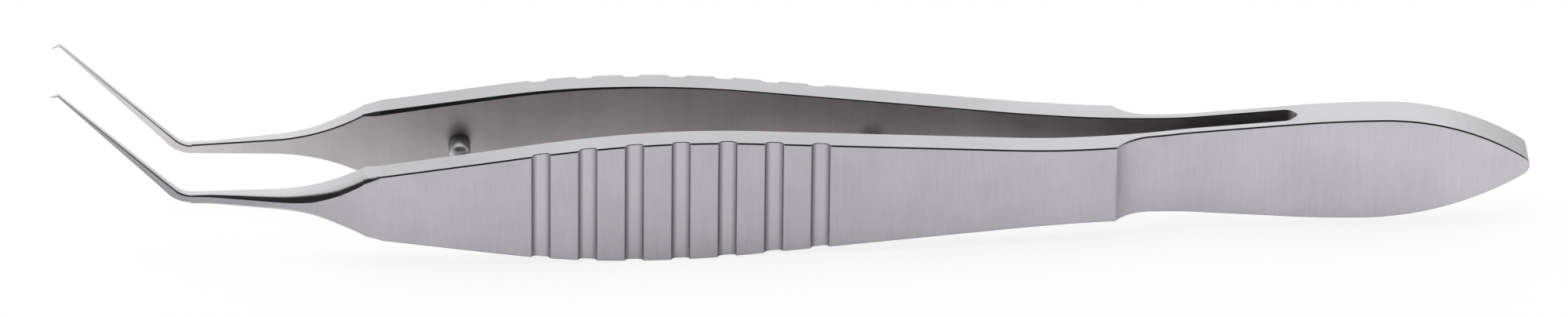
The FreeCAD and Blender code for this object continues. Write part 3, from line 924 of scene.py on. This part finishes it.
@dataclass
class Blade:
    """One sprung blade: leaf, bowed grip with grooves, neck, bent shaft and beak in one piece."""

    name: str
    body: str
    hand: int
    plan: BladePlan = field(default_factory=BladePlan)
    flex_reach: float = 3.6

    def flat_section(self, station: float) -> Section:
        """Section of leaf, grip or neck at a station.

        Args:
            station: Station between the leaf's rear end and the shaft's bend.

        Returns:
            The section.
        """
        plan = self.plan
        neck = plan.neck
        profile = plan.inner_profile()
        inner = profile.height(station)
        stretch = math.sqrt(1 + profile.slope(station) ** 2)
        cut = plan.grooves.cut(station)
        outer = inner + plan.thickness(station) * stretch - cut
        if station <= plan.side.shoulder_at:
            top = plan.side.half(1).height(station)
            bottom = -plan.side.half(-1).height(station)
        else:
            top = neck.half_width(station, plan.side)
            bottom = -top
        height = max(plan.edge_break - cut, plan.least_break)
        depth = height
        rolled = 0.0
        surfaces: dict[Surface, Surface] = {}
        # Painted light and shade at this station, with painted shade on the grooves' walls and rims
        tones = plan.tones(station)
        if cut > plan.least_cut:
            surfaces = {Surface.FACE: Surface.GROOVE}
            tones = replace(tones, face=tones.face * plan.grooves.tone(station))
        if station > neck.facet_at:
            height = min(between(neck.bevel_heights, station), neck.bevel_height_limit * top)
            rolled = min((station - neck.facet_at) / neck.roll_run, 1.0)
            depth = height * (1 + (neck.bevel_spread - 1) * rolled)
            depth = min(depth, neck.bevel_depth_limit * plan.thickness(station))
            surfaces = NECK_SURFACES
        return Section(plan.half_length - station, plan.axis_height, 0.0, top, bottom, inner, outer,
                       plan.inner_break(station), height, depth, surfaces, rolled, tones)

    def round_section(self, lean: float, along: float, rise: float, half_width: float, inner: float,
                      thickness: float) -> Section:
        """Section of the bend, the shaft or the beak.

        Args:
            lean: Angle between the section and the upright, in radians.
            along: Place along the instrument.
            rise: Height over the floor.
            half_width: Half the section's height.
            inner: Distance of the inner face from the middle plane.
            thickness: Thickness across the instrument.

        Returns:
            The section.
        """
        neck = self.plan.neck
        small = min(self.plan.neck_inner_break, neck.inner_break_limit * half_width)
        bevel = min(neck.shaft_bevel, neck.shaft_height_limit * half_width, neck.shaft_depth_limit * thickness)
        spread = min(neck.shaft_bevel_spread * bevel, neck.bevel_depth_limit * thickness)
        tones = self.plan.tones(neck.bend_at)
        # Painted reflection: the leaning bevel misses the dark card, so its colour is darkened to a painted
        # dark line as dark as the neck's mirrored line
        tones = replace(tones, breaks=tones.breaks * between(neck.painted_dark_line, math.degrees(lean)))
        return Section(along, rise, lean, half_width, -half_width, inner, inner + thickness, small, bevel,
                       spread, NECK_SURFACES, 1.0, tones)

    def sections(self) -> list[Section]:
        """Makes the sections of the whole blade.

        Returns:
            The sections from the leaf to the point of the beak.
        """
        plan = self.plan
        neck = plan.neck
        made = [self.flat_section(station) for station in plan.stations()]
        angle = math.radians(neck.angle)
        tangent = neck.bend_radius * math.tan(angle / 2)
        inner = plan.gap_at_shaft_bend / 2
        inner_end = plan.gap_at_tips / 2
        bend_start = plan.half_length - (neck.bend_at - tangent)
        for step in range(1, neck.bend_steps + 1):
            lean = angle * step / neck.bend_steps
            made.append(self.round_section(
                lean, bend_start - neck.bend_radius * math.sin(lean),
                plan.axis_height + neck.bend_radius * (1 - math.cos(lean)), neck.root_width / 2, inner,
                neck.root_thickness))
        corner = plan.half_length - neck.bend_at
        for step in range(1, neck.shaft_steps + 1):
            distance = tangent + (neck.shaft_length - tangent) * step / neck.shaft_steps
            share = distance / neck.shaft_length
            made.append(self.round_section(
                angle, corner - distance * math.cos(angle), plan.axis_height + distance * math.sin(angle),
                (neck.root_width + (neck.tip_width - neck.root_width) * share) / 2,
                inner + (inner_end - inner) * share,
                neck.root_thickness + (neck.tip_thickness - neck.root_thickness) * share))
        end = made[-1]
        for share, lean, width in neck.beak_stages:
            half = neck.tip_width / 2 * width
            thick = neck.tip_thickness + (2 * neck.beak_point - neck.tip_thickness) * share
            made.append(self.round_section(angle * lean, end.along - neck.beak_length * share,
                                           end.rise - neck.beak_drop * share, half, inner_end, thick))
        return made

    def build(self, materials: list[bpy.types.Material]) -> bpy.types.Object:
        """Builds the blade and hides the imported arm that it stands for.

        Args:
            materials: Materials in the order of the surfaces.

        Returns:
            The blade.
        """
        sweep = Sweep(self.sections())
        if self.hand < 0:
            bmesh.ops.scale(sweep.mesh, vec=(1.0, -1.0, 1.0), verts=sweep.mesh.verts[:])
        made = sweep.finish(self.name, materials)
        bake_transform(made)
        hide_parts(self.body)
        return made


@dataclass
class Tail:
    """Solid tail with the closed end of the slot between the two leaves."""

    plan: BladePlan = field(default_factory=BladePlan)
    thickness: float = 2.82
    slot_end_at: float = 16.5
    slot_nose: float = 0.95
    break_limit: float = 0.45
    end_steps: int = 8
    nose_steps: int = 8
    spacing: float = 0.5

    def stations(self) -> list[float]:
        """Lists the stations of the sections, close together where the rear end and the slot are round.

        Returns:
            The stations in rising order.
        """
        radius = self.plan.side.end_radius
        turned = [radius * (1 - math.cos(math.pi / 2 * step / self.end_steps))
                  for step in range(self.end_steps)]
        count = round((self.slot_end_at - radius) / self.spacing)
        even = [radius + (self.slot_end_at - radius) * step / count for step in range(count + 1)]
        nose = [self.slot_end_at + self.slot_nose * step / self.nose_steps
                for step in range(1, self.nose_steps + 1)]
        return turned + even + nose + [self.plan.leaf_from]

    def slot_half_width(self, station: float) -> float:
        """Works out half the width of the slot, whose end is a pointed arch.

        Args:
            station: Distance from the rear end of the tail.

        Returns:
            The half width, or 0 behind the slot.
        """
        beyond = station - self.slot_end_at
        if beyond <= 0:
            return 0.0
        half = self.plan.slot_width / 2
        if beyond >= self.slot_nose:
            return half
        return half * (1 - (1 - beyond / self.slot_nose) ** 2)

    def section(self, station: float) -> Section:
        """Makes the section of one half of the tail at a station.

        Args:
            station: Distance from the rear end of the tail.

        Returns:
            The section.
        """
        side = self.plan.side
        inner = self.slot_half_width(station)
        top = side.half(1).height(station)
        bottom = -side.half(-1).height(station)
        edge = min(self.plan.edge_break, self.break_limit * top)
        # Painted light and shade of the tail at this station
        tones = self.plan.tones(station)
        if inner == 0:
            # No inner face here: its corners lie on the edge's middle line and take the edge's tone
            tones = replace(tones, inside=tones.edge, inside_top=tones.edge)
        return Section(self.plan.half_length - station, self.plan.axis_height, 0.0, top, bottom, inner,
                       self.thickness / 2, min(self.plan.leaf_inner_break, inner), edge, edge, {}, 0.0, tones)

    def build(self, materials: list[bpy.types.Material]) -> bpy.types.Object:
        """Builds one half, mirrors it across the middle plane and joins the halves.

        Args:
            materials: Materials in the order of the surfaces.

        Returns:
            The tail.
        """
        sweep = Sweep([self.section(station) for station in self.stations()])
        mesh = sweep.mesh
        bmesh.ops.remove_doubles(mesh, verts=mesh.verts[:], dist=MERGE)
        middle = [face for face in mesh.faces if all(abs(vertex.co.y) < MERGE for vertex in face.verts)]
        bmesh.ops.delete(mesh, geom=middle, context="FACES")
        bmesh.ops.mirror(mesh, geom=mesh.verts[:] + mesh.edges[:] + mesh.faces[:], matrix=Matrix.Identity(4),
                         merge_dist=MERGE, axis="Y")
        made = sweep.finish("tail_block", materials)
        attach(made, "tail")
        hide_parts("tail")
        return made


@dataclass
class StopPin:
    """Domed pin that is pressed into the inner face of the right blade."""

    name: str
    node: str
    plan: BladePlan = field(default_factory=BladePlan)
    diameter: float = 1.58
    stands_out: float = 2.0
    seat_depth: float = 1.0
    dome_height: float = 0.45
    # Painted light and shade on the pin: the dome keeps the steel's colour, the shank is painted nearly black
    # as painted shade
    dome_tone: float = 1.0
    shank_painted_shade: float = 0.12
    dome_steps: int = 10
    turn_steps: int = 48

    def build(self, material: bpy.types.Material) -> bpy.types.Object:
        """Builds the pin by turning its profile about its own axis.

        Args:
            material: Finish of the pin.

        Returns:
            The pin, on the right blade.
        """
        low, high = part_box(self.node)
        station = self.plan.half_length - (low.x + high.x) / 2 / MM
        profile = self.plan.inner_profile()
        slope = profile.slope(station)
        face = Vector((self.plan.half_length - station, profile.height(station), self.plan.axis_height))
        outward = Vector((-slope, -1.0, 0.0)).normalized()
        mesh = bmesh.new()
        radius = self.diameter / 2
        ball = (radius ** 2 + self.dome_height ** 2) / (2 * self.dome_height)
        half_angle = math.asin(radius / ball)
        shank = self.stands_out - self.dome_height
        places = [(0.0, -self.seat_depth), (radius, -self.seat_depth), (radius, 0.0), (radius, shank)]
        for step in range(1, self.dome_steps + 1):
            angle = half_angle * (1 - step / self.dome_steps)
            places.append((ball * math.sin(angle), self.stands_out - ball + ball * math.cos(angle)))
        tone = mesh.verts.layers.float.new(PAINTED_SHADING)
        line = [mesh.verts.new((across * MM, 0.0, out * MM)) for across, out in places]
        for vertex in line:
            vertex[tone] = self.dome_tone if vertex.co.z > shank * MM else self.shank_painted_shade
        edges = [mesh.edges.new(pair) for pair in zip(line, line[1:])]
        bmesh.ops.spin(mesh, geom=line + edges, cent=(0, 0, 0), axis=(0, 0, 1), angle=math.tau,
                       steps=self.turn_steps, use_merge=True)
        bmesh.ops.remove_doubles(mesh, verts=mesh.verts[:], dist=MERGE)
        bmesh.ops.recalc_face_normals(mesh, faces=mesh.faces[:])
        turn = outward.to_track_quat("Z", "Y").to_matrix().to_4x4()
        bmesh.ops.transform(mesh, matrix=Matrix.Translation(face * MM) @ turn, verts=mesh.verts[:])
        made = finish_mesh(mesh, self.name, [material], PIN_CRISP)
        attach(made, "right_arm")
        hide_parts(self.node)
        return made


@dataclass
class Camera:
    """Long lens that looks at the near blade's outer face from above.

    Angles are in degrees and sizes in mm, apart from the clip distances, which are in metres.
    """

    azimuth: float = -2.452
    elevation: float = 30.227
    roll: float = -0.632
    distance: float = 850.0
    target_along: float = -0.590
    target_rise: float = 0.610
    mm_per_pixel: float = 0.0556014
    clip_near: float = 0.05
    clip_far: float = 20.0

    def build(self, plan: BladePlan) -> bpy.types.Object:
        """Builds the camera and makes it the scene's own.

        Args:
            plan: Plan that gives the height of the long axis.

        Returns:
            The camera.
        """
        azimuth = math.radians(self.azimuth)
        elevation = math.radians(self.elevation)
        roll = math.radians(self.roll)
        ahead = Vector((-math.sin(azimuth) * math.cos(elevation), math.cos(azimuth) * math.cos(elevation),
                        -math.sin(elevation)))
        level = Vector((math.cos(azimuth), math.sin(azimuth), 0.0))
        upright = level.cross(ahead)
        right = level * math.cos(roll) - upright * math.sin(roll)
        up = level * math.sin(roll) + upright * math.cos(roll)
        target = Vector((self.target_along, 0.0, plan.axis_height + self.target_rise))
        data = bpy.data.cameras.new("camera")
        data.sensor_fit = "HORIZONTAL"
        data.sensor_width = SENSOR_WIDTH
        data.lens = self.distance / self.mm_per_pixel / PHOTO_WIDTH * SENSOR_WIDTH
        data.clip_start = self.clip_near
        data.clip_end = self.clip_far
        made = bpy.data.objects.new("camera", data)
        turn = Matrix((right, up, -ahead)).transposed().to_4x4()
        made.matrix_world = Matrix.Translation((target - ahead * self.distance) * MM) @ turn
        bpy.context.scene.collection.objects.link(made)
        bpy.context.scene.camera = made
        return made


@dataclass
class Studio:
    """Pale floor, white surroundings with a dark card, and a soft lamp overhead.

    Sizes are in metres. The card's top and foot give where it begins and where it is full, as the Y part and
    the Z part of the direction that it is seen in.
    """

    floor_size: float = 6.0
    floor_colour: str = "#FAFAFA"
    floor_glow: float = 0.8
    glow_strength: float = 1.06
    floor_glow_mirrored: float = 0.15
    card_light: float = 0.035
    card_top: tuple[float, float] = (0.10, -0.34)
    card_foot: tuple[float, float] = (0.28, 0.42)
    side_light: float = 0.6
    lamp_power: float = 3.4
    lamp_size: float = 0.8
    lamp_place: tuple[float, float, float] = (-0.25, -0.15, 1.0)

    def build(self) -> None:
        """Builds the floor, the world and the lamp."""
        self.floor()
        self.world()
        self.lamp("top_softbox", Vector(self.lamp_place), self.lamp_power)
        bpy.context.scene.view_settings.view_transform = "Standard"

    def floor(self) -> bpy.types.Object:
        """Builds the floor, which stays white in the picture and keeps a part of the shadow.

        Returns:
            The floor.
        """
        mesh = bmesh.new()
        bmesh.ops.create_grid(mesh, x_segments=1, y_segments=1, size=self.floor_size / 2)
        made = finish_mesh(mesh, "floor", [self.floor_material()])
        return made

    def floor_material(self) -> bpy.types.Material:
        """Builds the floor's matt white, with a share of its own light for what sees the background.

        Returns:
            The new material.
        """
        made = bpy.data.materials.new("matt_white_floor")
        made.use_nodes = True
        tree = made.node_tree
        tree.nodes.clear()
        paper = add_node(tree, "ShaderNodeBsdfDiffuse", {}, {"Color": linear(self.floor_colour)})
        glow = add_node(tree, "ShaderNodeEmission", {}, {"Color": WHITE, "Strength": self.glow_strength})
        path = add_node(tree, "ShaderNodeLightPath")
        mirrored = add_node(tree, "ShaderNodeMath", {"operation": "MAXIMUM"}, {
            0: path.outputs["Is Glossy Ray"], 1: path.outputs["Is Transmission Ray"]})
        dim = add_node(tree, "ShaderNodeMath", {"operation": "MULTIPLY"}, {
            0: mirrored.outputs[0], 1: self.floor_glow_mirrored})
        share = add_node(tree, "ShaderNodeMath", {"operation": "MULTIPLY_ADD"}, {
            0: path.outputs["Is Camera Ray"], 1: self.floor_glow, 2: dim.outputs[0]})
        mixed = add_node(tree, "ShaderNodeMixShader", {}, {0: share.outputs[0], 1: paper.outputs[0],
                                                           2: glow.outputs[0]})
        add_node(tree, "ShaderNodeOutputMaterial", {}, {"Surface": mixed.outputs[0]})
        return made

    def world(self) -> None:
        """Builds the surroundings: white all round and overhead, with a dark card in front and above."""
        made = bpy.data.worlds.new("studio")
        bpy.context.scene.world = made
        made.use_nodes = True
        tree = made.node_tree
        tree.nodes.clear()
        place = add_node(tree, "ShaderNodeTexCoord").outputs["Generated"]
        parts = add_node(tree, "ShaderNodeSeparateXYZ", {}, {0: place})
        front = add_node(tree, "ShaderNodeMapRange", {"interpolation_type": "SMOOTHSTEP"}, {
            "Value": parts.outputs["Y"], "From Min": self.card_top[0], "From Max": self.card_top[1]})
        above = add_node(tree, "ShaderNodeMapRange", {"interpolation_type": "SMOOTHSTEP"}, {
            "Value": parts.outputs["Z"], "From Min": self.card_foot[0], "From Max": self.card_foot[1]})
        card = add_node(tree, "ShaderNodeMath", {"operation": "MULTIPLY"}, {
            0: front.outputs[0], 1: above.outputs[0]})
        carded = add_node(tree, "ShaderNodeMapRange", {}, {
            "Value": card.outputs[0], "To Min": 1.0, "To Max": self.card_light})
        sideways = add_node(tree, "ShaderNodeMath", {"operation": "MULTIPLY"}, {
            0: parts.outputs["X"], 1: parts.outputs["X"]})
        dimmed = add_node(tree, "ShaderNodeMapRange", {}, {
            "Value": sideways.outputs[0], "To Min": 1.0, "To Max": self.side_light})
        level = add_node(tree, "ShaderNodeMath", {"operation": "MULTIPLY"}, {
            0: carded.outputs[0], 1: dimmed.outputs[0]})
        around = add_node(tree, "ShaderNodeCombineColor", {}, {
            "Red": level.outputs[0], "Green": level.outputs[0], "Blue": level.outputs[0]})
        seen = add_node(tree, "ShaderNodeLightPath").outputs["Is Camera Ray"]
        colour = add_node(tree, "ShaderNodeMix", {"data_type": "RGBA"}, {
            "Factor": seen, 6: around.outputs[0], 7: WHITE})
        back = add_node(tree, "ShaderNodeBackground", {}, {"Color": colour.outputs[2], "Strength": 1.0})
        add_node(tree, "ShaderNodeOutputWorld", {}, {"Surface": back.outputs[0]})

    def lamp(self, name: str, place: Vector, power: float) -> bpy.types.Object:
        """Builds a square soft lamp that points at the instrument.

        Args:
            name: Name of the lamp.
            place: Place of the lamp in metres.
            power: Power in watts.

        Returns:
            The lamp.
        """
        data = bpy.data.lights.new(name, "AREA")
        data.shape = "SQUARE"
        data.size = self.lamp_size
        data.energy = power
        made = bpy.data.objects.new(name, data)
        made.location = place
        made.rotation_mode = "QUATERNION"
        made.rotation_quaternion = (-place).to_track_quat("-Z", "Y")
        made.visible_glossy = False
        bpy.context.scene.collection.objects.link(made)
        return made


# Hand-polished neck and shaft: smooth, with a trace of the lines along them
POLISHED_NECK = BrushedSteel("polished_steel_neck", "#DCDCDE", 0.16, line_length=(8.0, 0.0, 0.0),
                             contrast=0.02)
FINISHES = {
    # Satin stainless steel, brushed across the blade: fine upright lines in a cool violet grey
    Surface.FACE: BrushedSteel("satin_steel_brushed_across", "#DAD7DE", 0.34, line_pitch=0.13,
                               line_length=(0.0, 3.0, 1.8), contrast=0.05, cloud_size=4.0,
                               cloud_contrast=0.045, coarse_share=0.3),
    # The same steel inside, milled and brushed less evenly
    Surface.INSIDE: BrushedSteel("satin_steel_inside", "#DEDADC", 0.36, contrast=0.03, cloud_size=6.0,
                                 cloud_contrast=0.09),
    # Ground edges: faint lines along the blade
    Surface.EDGE: BrushedSteel("ground_steel_edge", "#D9D9DB", 0.30, line_length=(14.0, 0.0, 0.0),
                               contrast=0.03),
    # Burnished edge breaks, which mirror the dark card as a thin line; their steel is also painted darker, as
    # painted shade along that line
    Surface.BREAK: BrushedSteel("burnished_break_painted_dark", "#A0A0A4", 0.08, contrast=0.02, relief=0.0,
                                roughness_swing=0.02),
    # Milled grooves, their steel painted lighter than the face's, as painted light on the groove floors
    Surface.GROOVE: BrushedSteel("milled_groove_painted_light", "#E2DFE6", 0.32, contrast=0.03),
    Surface.NECK_EDGE: POLISHED_NECK,
    Surface.NECK_BREAK: POLISHED_NECK,
}
# Turned steel of the stop pins: even and soft in gloss
PIN_FINISH = BrushedSteel("turned_steel_pin", "#D2D2D4", 0.34, contrast=0.03, relief=0.0003)


def main() -> None:
    """Builds the instrument, the studio and the camera."""
    logging.basicConfig(level=logging.INFO, format="%(message)s")
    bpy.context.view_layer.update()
    plan = BladePlan()
    made = {finish: finish.material() for finish in dict.fromkeys(FINISHES.values())}
    materials = [made[FINISHES[surface]] for surface in Surface]
    pieces = [
        Tail(plan).build(materials),
        Blade("left_blade", "left_arm", -1, plan).build(materials),
        Blade("right_blade", "right_arm", 1, plan).build(materials),
    ]
    pin_material = PIN_FINISH.material()
    pieces += [StopPin(f"{place}_pin", f"{place}_stop_pin", plan).build(pin_material)
               for place in ("front", "rear")]
    for piece in pieces:
        LOG.info("%s has %d faces", piece.name, len(piece.data.polygons))
    Studio().build()
    Camera().build(plan)


if __name__ == "__main__":
    main()
